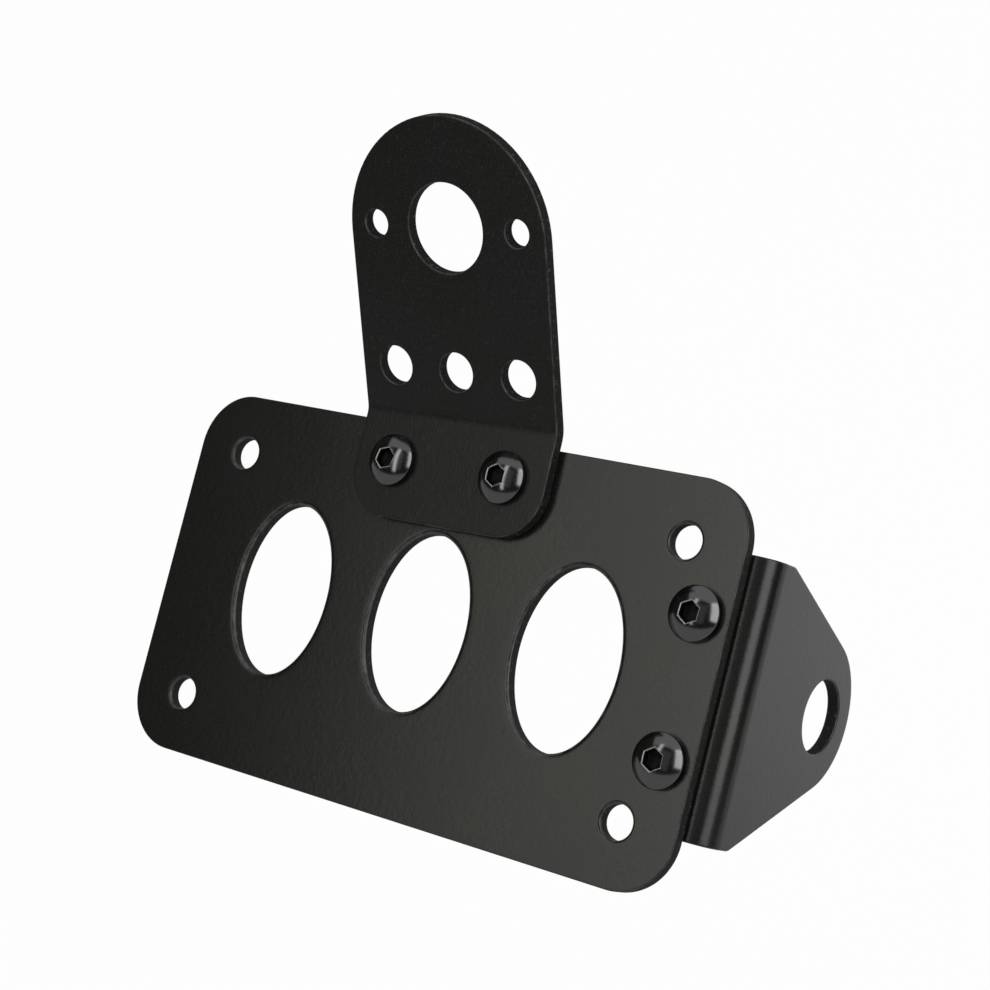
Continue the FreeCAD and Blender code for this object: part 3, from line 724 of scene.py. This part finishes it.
class PLATEHOLDER_OT_side_bracket(bpy.types.Operator):
    """Cut and fold the angle bracket that slides over the axle"""
    bl_idname = "plateholder.side_bracket"
    bl_label = "Side Bracket"

    def execute(self, context):
        scene = context.scene
        sizes = scene.plate_holder_side
        bend = math.pi / 2
        start = -(sizes.fold_inside + GAUGE)
        neutral = bend * (sizes.fold_inside + GAUGE / 2)
        foot = start + neutral + start
        middle = PLATE_HOLES_PLACE.z
        half = sizes.height / 2
        tip = Vector((foot + sizes.tip_setback, -middle))
        shoulder = foot + sizes.shoulder
        lower, upper = [touching(Vector((shoulder, level)), tip, sizes.tip_radius)
                        for level in (-half, half)]
        sweep = lower.angle_signed(upper)
        sweep = math.tau - abs(sweep) if lower.dot(upper) > 0 else abs(sweep)
        corners = [(-sizes.leg_reach, -sizes.leg_end_height / 2, sizes.corner),
                   (-sizes.leg_shoulder, -half, sizes.corner),
                   (shoulder, -half, sizes.corner)]
        corners += [(*spot, 0.0) for spot in arc(tip, lower, sweep)]
        corners += [(u, -v, radius) for u, v, radius in reversed(corners[:3])]
        screw_u = -sizes.fold_proud - sizes.inset
        holes = [screw_hole(scene, screw_u, level * sizes.pitch) for level in (-0.5, 0.5)]
        holes.append(hole(foot + sizes.bore_setback, -middle, AXLE_BORE, BORE_POINTS))
        blank = bracket_blank(corners, holes, scene.plate_holder_carrier, Vector((1.0, 0.0, 0.0)),
                              start, neutral, SIDE_FOLD_STEPS)
        wall = CARRIER_HIGH.x + sizes.fold_proud

        def place(at):
            across, depth = folded(at.x, at.z, start, bend, sizes.fold_inside, False)
            return Vector((wall + across, CARRIER_HIGH.y + depth, middle + at.y))

        sheet_piece("side_bracket", blank, place)
        return {"FINISHED"}


def touching(outside, centre, radius):
    """The arm from a circle's centre to where a line from an outside point touches it."""
    away = outside - centre
    spread = math.acos(radius / away.length)
    side = -1.0 if outside.y > centre.y else 1.0
    return Matrix.Rotation(side * spread, 2) @ (away.normalized() * radius)


def loft(rings):
    """A mesh through a stack of rings; a ring is its points, or one for a pole, and its wear, which
    below nought is painted shade.
    """
    mesh = bmesh.new()
    wear_layer = mesh.verts.layers.float.new("edge")
    stack = []
    for points, wear in rings:
        ring = []
        for point in points:
            corner = mesh.verts.new(point)
            corner[wear_layer] = wear
            ring.append(corner)
        stack.append(ring)
    for near, far in zip(stack, stack[1:]):
        if len(near) == 1 or len(far) == 1:
            pole, ring = (near[0], far) if len(near) == 1 else (far[0], near)
            for index in range(len(ring)):
                mesh.faces.new((pole, ring[index - 1], ring[index]))
        else:
            close_ring(mesh, near, far)
    return mesh


def turned_ring(radius_at, height_at, spin):
    """A ring of points whose radius and height may depend on the angle from the spin."""
    ring = []
    for index in range(TURNED_POINTS):
        past = math.tau * index / TURNED_POINTS
        radius = radius_at(past)
        ring.append(Vector((radius * math.cos(spin + past), radius * math.sin(spin + past),
                            height_at(past))))
    return ring


def level_ring(radius, height, spin=0.0):
    """A round ring at one height."""
    return turned_ring(lambda past: radius, lambda past: height, spin)


def hexagon_reach(width, past):
    """How far a hexagon of a width across flats reaches at an angle past a corner."""
    sixth = math.pi / 3
    return width / 2 / math.cos(past % sixth - sixth / 2)


def hexagon_ring(width, height, spin):
    """A hexagonal ring at one height, its first corner at the spin."""
    return turned_ring(lambda past: hexagon_reach(width, past), lambda past: height, spin)


def screw_head(sizes, spin):
    """Button head with a hexagon socket, seated at height 0."""
    top, rim_x = sizes.head_height, sizes.head_width / 2
    mouth_x = sizes.socket_mouth / 2
    floor = top - sizes.socket_depth
    chamfer = (sizes.socket_mouth - sizes.socket) / 2
    drill_point, soft, wear_drop, dome_steps = 0.7 * MM, 0.1 * MM, 0.12 * MM, 16

    # The dome is a sphere through the straight rim's upper edge and the flats of the mouth
    level = rim_x ** 2 + sizes.head_rim ** 2 - mouth_x ** 2 - top ** 2
    level /= 2 * (sizes.head_rim - top)
    reach = math.hypot(rim_x, sizes.head_rim - level)

    def dome(radius):
        """The dome's height at a distance from the screw's axis."""
        return level + math.sqrt(reach ** 2 - radius ** 2)

    def hexagon_on_dome(width, drop):
        """A hexagonal ring that lies on the dome, or at a distance below it."""
        return turned_ring(lambda past: hexagon_reach(width, past),
                           lambda past: dome(hexagon_reach(width, past)) - drop, spin)

    # Rings inside the socket carry wear below nought, which paints shade there
    rings = [([Vector((0.0, 0.0, floor - drill_point))], -1.0),
             (hexagon_ring(sizes.socket * 0.9, floor - soft, spin), -1.0),
             (hexagon_ring(sizes.socket, floor + soft, spin), -1.0),
             (hexagon_on_dome(sizes.socket, chamfer + wear_drop), -0.6),
             (hexagon_on_dome(sizes.socket, chamfer), 1.0),
             (hexagon_on_dome(sizes.socket_mouth, 0.0), 1.0),
             (hexagon_on_dome(sizes.socket_mouth + 0.14 * MM, 0.0), 0.0)]
    first = mouth_x / math.cos(math.pi / 6) + 0.25 * MM
    last = rim_x - 0.12 * MM
    for step in range(dome_steps + 1):
        radius = first + (last - first) * math.sin(math.pi / 2 * step / dome_steps)
        rings.append((level_ring(radius, dome(radius), spin), 0.0))

    # The straight rim with both its edges softened, as (inset, height, wear)
    rim = ((0.03 * MM, sizes.head_rim - 0.02 * MM, 0.2), (0.0, sizes.head_rim - 0.16 * MM, 0.1),
           (0.0, 0.2 * MM, 0.1), (0.06 * MM, 0.06 * MM, 0.2), (0.2 * MM, 0.0, 0.1))
    rings += [(level_ring(rim_x - inset, height, spin), worn) for inset, height, worn in rim]
    rings += [(level_ring(sizes.thread / 2, 0.0, spin), 0.0), ([Vector((0.0, 0.0, 0.0))], 0.0)]
    return loft(rings)


def finished_mesh(name, mesh):
    """A lofted mesh with its sharp edges marked."""
    bmesh.ops.recalc_face_normals(mesh, faces=mesh.faces)
    plain = smooth_mesh(name, mesh)
    plain.set_sharp_from_angle(angle=CREASE)
    return plain


def thread_tree(material):
    """Geometry nodes that join a threaded shank to a head and move the screw to its place."""
    group = bpy.data.node_groups.new("Threaded screw", "GeometryNodeTree")
    sockets = {}

    def ask(kind, *names):
        """Adds inputs of a kind and keeps what the modifier calls them."""
        for name in names:
            socket = group.interface.new_socket(name, in_out="INPUT", socket_type=kind)
            sockets[name] = socket.identifier

    lengths = ("Radius", "Pitch", "Depth", "Length", "Chamfer")
    ask("NodeSocketGeometry", "Head")
    ask("NodeSocketFloat", *lengths)
    ask("NodeSocketInt", "Rows", "Columns")
    ask("NodeSocketVector", "Place")
    group.interface.new_socket("Screw", in_out="OUTPUT", socket_type="NodeSocketGeometry")
    tree = Tree(group)
    tree.add("NodeGroupInput")
    given = tree.nodes[-1].outputs
    radius, pitch, depth, reach, chamfer = [Wire(tree, given[name]) for name in lengths]
    grid = tree.add("GeometryNodeMeshGrid", inputs={
        "Size X": 1.0, "Size Y": 1.0,
        "Vertices X": Wire(tree, given["Columns"]), "Vertices Y": Wire(tree, given["Rows"])})
    spot = tree.add("GeometryNodeInputPosition")
    across, along = [tree.add("ShaderNodeSeparateXYZ", inputs={0: spot}, output=axis) + 0.5
                     for axis in (0, 1)]
    rise = along * (reach + pitch * (TURNS_BEFORE + TURNS_PAST))
    rise = rise - pitch * TURNS_BEFORE + across * pitch
    phase = ((rise / pitch - across) + CREST / 2).math("FRACT")
    crest = (phase - 0.5).math("ABSOLUTE") * 2.0
    crest = ((crest - ROOT) / (1.0 - ROOT - CREST)).clamped()
    height = rise.greater(0.0).lesser(reach)
    lean_in = (radius - depth + height).lesser(radius - chamfer + (reach - height))
    past_end, before_start = (rise - reach).greater(0.0), (0.0 - rise).greater(0.0)
    fade = (1.0 - past_end / pitch - before_start / pitch).clamped()
    out = (radius - depth * (1.0 - crest)).lesser(lean_in) * fade
    turn = across * math.tau
    coil = tree.add("ShaderNodeCombineXYZ", inputs={
        0: out * turn.math("COSINE"), 1: out * turn.math("SINE"), 2: SHANK_SUNK - height})
    shank = tree.add("GeometryNodeSetPosition", inputs={"Geometry": grid, "Position": coil})
    shank = tree.add("GeometryNodeMergeByDistance", inputs={
        "Geometry": shank, "Distance": SAME_ON_THREAD})
    shank = tree.add("GeometryNodeFlipFaces", inputs={0: shank})
    joined = tree.add("GeometryNodeJoinGeometry", inputs={0: shank})
    tree.links.new(given["Head"], tree.nodes[-1].inputs[0])
    placed = tree.add("GeometryNodeTransform", inputs={
        "Geometry": joined, "Translation": Wire(tree, given["Place"]),
        "Rotation": (math.pi / 2, 0.0, 0.0)})
    real = tree.add("GeometryNodeRealizeInstances", inputs={0: placed})
    coated = tree.add("GeometryNodeSetMaterial", inputs={"Geometry": real, "Material": material})
    tree.add("NodeGroupOutput", inputs={0: coated})
    return group, sockets


class PLATEHOLDER_OT_screws(bpy.types.Operator):
    """Turn the four button head screws"""
    bl_idname = "plateholder.screws"
    bl_label = "Screws"

    def execute(self, context):
        scene = context.scene
        sizes = scene.plate_holder_fasteners
        group, sockets = thread_tree(finish_of("screw_plating"))
        turns = round(sizes.shank / sizes.pitch) + int(TURNS_BEFORE + TURNS_PAST)
        values = {"Radius": sizes.thread / 2, "Pitch": sizes.pitch, "Depth": sizes.thread_depth,
                  "Length": sizes.shank + SHANK_SUNK, "Chamfer": sizes.chamfer,
                  "Rows": TURN_ROWS * turns + 1, "Columns": TURN_COLUMNS}
        for joint, where, spin, _ in JOINTS:
            x, z = joint_places(scene)[joint, where]
            seat = CARRIER_LOW.y - (GAUGE if joint == "lamp" else 0.0)
            node = f"{joint}_screw_{where}"
            head = finished_mesh(f"{node}_turned", screw_head(sizes, math.radians(spin)))
            piece = add_object(f"{node}_turned", head)
            modifier = piece.modifiers.new("Thread", "NODES")
            modifier.node_group = group
            for name, value in values.items():
                modifier[sockets[name]] = value
            modifier[sockets["Place"]] = (x, seat, z)
            hand_over(settle(piece), node, "screw_plating")
        return {"FINISHED"}


def washer_mesh(sizes):
    """A plain washer with softened edges, from height 0 up."""
    bore, outer, soft = sizes.washer_bore / 2, sizes.washer_width / 2, 0.18 * MM
    section = [(bore, soft, 0.3), (bore + soft * 0.3, soft * 0.3, 0.5), (bore + soft, 0.0, 0.3),
               (bore + 3 * soft, 0.0, 0.0), (outer - 3 * soft, 0.0, 0.0),
               (outer - soft, 0.0, 0.3), (outer - soft * 0.3, soft * 0.3, 0.5), (outer, soft, 0.3)]
    section += [(radius, sizes.washer_gauge - height, rubbed)
                for radius, height, rubbed in reversed(section)]
    section.append(section[0])
    return loft([(level_ring(radius, height), rubbed) for radius, height, rubbed in section])


class PLATEHOLDER_OT_washers(bpy.types.Operator):
    """Punch the four plain washers"""
    bl_idname = "plateholder.washers"
    bl_label = "Washers"

    def execute(self, context):
        for joint, where, _, _ in JOINTS:
            mesh = washer_mesh(context.scene.plate_holder_fasteners)
            stand_behind(context.scene, mesh, "washer", joint, where, 0.0)
        return {"FINISHED"}


def nut_mesh(sizes, spin):
    """A hexagon nut with both faces chamfered and its bore countersunk, from height 0 up."""
    bore, face = sizes.nut_bore / 2, sizes.nut_width / 2
    sunk, face_inset, least_drop, soft = 0.45 * MM, 0.25 * MM, 0.05 * MM, 0.12 * MM
    slope = math.tan(sizes.nut_lean)

    def corner_reach(past):
        """How far the nut reaches, its corners a little softened."""
        return min(hexagon_reach(sizes.nut_width, past), face / math.cos(math.pi / 6) - soft)

    def chamfer_height(past):
        """Where the corner chamfer starts, higher towards a corner."""
        return (corner_reach(past) - face + least_drop) * slope

    lower = [(level_ring(bore, sunk, spin), 0.0),
             (level_ring(bore + sunk, 0.0, spin), 0.4),
             (level_ring(face - face_inset, 0.0, spin), 0.4),
             (turned_ring(corner_reach, chamfer_height, spin), 0.8)]
    upper = [([Vector((point.x, point.y, sizes.nut_height - point.z)) for point in ring], rubbed)
             for ring, rubbed in reversed(lower)]
    return loft(lower + upper + [lower[0]])


def stand_behind(scene, mesh, kind, joint, where, lift):
    """Closes a lofted washer or nut and puts it behind its joint's sheets."""
    node = f"{joint}_{kind}_{where}"
    x, z = joint_places(scene)[joint, where]
    back = CARRIER_HIGH.y + (0.0 if joint == "lamp" else GAUGE) + lift
    bmesh.ops.remove_doubles(mesh, verts=mesh.verts, dist=SAME)
    mesh.transform(Matrix.Translation((x, back, z)) @ Matrix.Rotation(-math.pi / 2, 4, "X"))
    piece = add_object(f"{node}_turned", finished_mesh(f"{node}_turned", mesh))
    hand_over(piece, node, "nut_plating")


class PLATEHOLDER_OT_nuts(bpy.types.Operator):
    """Make the four hexagon nuts"""
    bl_idname = "plateholder.nuts"
    bl_label = "Nuts"

    def execute(self, context):
        sizes = context.scene.plate_holder_fasteners
        for joint, where, _, spin in JOINTS:
            mesh = nut_mesh(sizes, math.radians(spin))
            stand_behind(context.scene, mesh, "nut", joint, where, sizes.washer_gauge)
        return {"FINISHED"}


# Studio


def pale_material(studio):
    """Pale matt floor that looks white to the camera and in reflections, and keeps its shadow."""
    material, tree = new_material("pale_floor")
    seen = tree.add("ShaderNodeLightPath", output="Is Camera Ray")
    mirrored = tree.add("ShaderNodeLightPath", output="Is Glossy Ray")
    place = tree.add("ShaderNodeTexCoord", output="Object")
    height = tree.add("ShaderNodeSeparateXYZ", inputs={0: place}, output=2)
    cloud = tree.noise(place, *FLOOR_NOISE)
    tone = tree.mixed(cloud, opaque(studio.floor), opaque(tint * 0.98 for tint in studio.floor))
    matt = tree.add("ShaderNodeBsdfDiffuse", inputs={"Color": tone})
    risen = ((height - FLOOR) / FADE_HEIGHT).clamped()
    grey = tree.mixed(risen, opaque((studio.foot,) * 3), opaque((studio.wall,) * 3))
    paint = tree.mixed(seen, grey, WHITE)
    glow = tree.add("ShaderNodeEmission", inputs={"Color": paint})

    # The camera keeps a little of the matt floor, so that the shadow stays
    shader = tree.add("ShaderNodeMixShader", inputs={0: seen * 0.98 + mirrored, 1: matt, 2: glow})
    tree.add("ShaderNodeOutputMaterial", inputs={"Surface": shader})
    return material


def add_backdrop(studio):
    """One sheet that is the floor and curves up into the wall behind."""
    mesh = bmesh.new()
    foot = WALL - WALL_BEND
    section = [(FRONT, FLOOR), (foot, FLOOR)]
    for step in range(1, BEND_STEPS + 1):
        lift = math.pi / 2 * step / BEND_STEPS
        section.append((foot + WALL_BEND * math.sin(lift),
                        FLOOR + WALL_BEND * (1 - math.cos(lift))))
    section.append((WALL, WALL_TOP))
    rows = [[mesh.verts.new((x, y, z)) for x in (-HALF_WIDTH, HALF_WIDTH)] for y, z in section]
    for near, far in zip(rows, rows[1:]):
        mesh.faces.new((near[0], near[1], far[1], far[0]))
    plain = smooth_mesh("pale_backdrop", mesh)
    plain.materials.append(pale_material(studio))
    add_object("pale_backdrop", plain)


def add_softbox(name, power, azimuth, elevation, distance, width, height):
    """A soft lamp that faces the holder; azimuth runs from the front towards the right."""
    lamp = bpy.data.lights.new(name, "AREA")
    lamp.shape = "RECTANGLE"
    lamp.size, lamp.size_y = width, height
    lamp.energy = power
    piece = add_object(name, lamp)
    around, up = math.radians(azimuth), math.radians(elevation)
    away = Vector((math.sin(around) * math.cos(up), -math.cos(around) * math.cos(up), math.sin(up)))
    piece.location = PLATE_HOLES_PLACE + away * distance
    piece.rotation_euler = away.to_track_quat("Z", "Y").to_euler()
    piece.visible_camera = False
    return piece


def add_camera(scene):
    """A long lens at the right and slightly below, leaning to one side."""
    data = bpy.data.cameras.new("camera")
    data.lens, data.sensor_width = LENS, SENSOR
    data.clip_start, data.clip_end = 0.01, 20.0
    camera = add_object("camera", data)
    axes = Matrix((CAMERA_RIGHT, CAMERA_UP, CAMERA_RIGHT.cross(CAMERA_UP))).transposed()
    camera.matrix_world = Matrix.Translation(CAMERA_PLACE) @ axes.to_4x4()
    scene.camera = camera


def add_room(scene, studio):
    """A dim room that the camera sees as white."""
    world = bpy.data.worlds.new("room")
    tree = empty_tree(world)
    seen = tree.add("ShaderNodeLightPath", output="Is Camera Ray")
    tone = tree.mixed(seen, opaque(studio.dim), WHITE)
    glow = tree.add("ShaderNodeBackground", inputs={"Color": tone})
    tree.add("ShaderNodeOutputWorld", inputs={"Surface": glow})
    scene.world = world


class PLATEHOLDER_OT_stage(bpy.types.Operator):
    """Set up the floor, the lamps and the camera"""
    bl_idname = "plateholder.stage"
    bl_label = "Studio"

    def execute(self, context):
        scene = context.scene
        studio = scene.plate_holder_studio
        scene.view_settings.view_transform = "Standard"
        add_camera(scene)
        add_room(scene, studio)
        add_backdrop(studio)
        lamps = {name: add_softbox(name, getattr(studio, field), *place)
                 for name, field, *place in LAMPS}
        lamps["front_softbox"].data.color = FRONT_TINT
        lamps["fill_light"].visible_glossy = False
        return {"FINISHED"}


class PLATEHOLDER_PT_sidebar(bpy.types.Panel):
    """Lists the pieces and the sizes of the holder"""
    bl_idname = "PLATEHOLDER_PT_sidebar"
    bl_label = "Plate Holder"
    bl_space_type = "VIEW_3D"
    bl_region_type = "UI"
    bl_category = "Plate Holder"

    def draw(self, context):
        for operator in OPERATORS:
            self.layout.operator(operator.bl_idname)
        for name, group in SETTINGS.items():
            box = self.layout.box()
            box.label(text=group.__doc__)
            for field in group.__annotations__:
                box.prop(getattr(context.scene, name), field)


OPERATORS = (
    PLATEHOLDER_OT_carrier,
    PLATEHOLDER_OT_lamp_bracket,
    PLATEHOLDER_OT_side_bracket,
    PLATEHOLDER_OT_screws,
    PLATEHOLDER_OT_washers,
    PLATEHOLDER_OT_nuts,
    PLATEHOLDER_OT_stage,
)
SETTINGS = {
    "plate_holder_carrier": CarrierSizes,
    "plate_holder_lamp": LampBracketSizes,
    "plate_holder_side": SideBracketSizes,
    "plate_holder_fasteners": FastenerSizes,
    "plate_holder_finish": FinishSettings,
    "plate_holder_studio": StudioSettings,
}


def register():
    for group in SETTINGS.values():
        bpy.utils.register_class(group)
    for name, group in SETTINGS.items():
        setattr(bpy.types.Scene, name, PointerProperty(type=group))
    for operator in OPERATORS:
        bpy.utils.register_class(operator)
    bpy.utils.register_class(PLATEHOLDER_PT_sidebar)


def unregister():
    bpy.utils.unregister_class(PLATEHOLDER_PT_sidebar)
    for operator in reversed(OPERATORS):
        bpy.utils.unregister_class(operator)
    for name in SETTINGS:
        delattr(bpy.types.Scene, name)
    for group in reversed(SETTINGS.values()):
        bpy.utils.unregister_class(group)


def main():
    register()
    bpy.ops.plateholder.stage()
    bpy.ops.plateholder.carrier()
    bpy.ops.plateholder.lamp_bracket()
    bpy.ops.plateholder.side_bracket()
    bpy.ops.plateholder.screws()
    bpy.ops.plateholder.washers()
    bpy.ops.plateholder.nuts()


if __name__ == "__main__":
    main()
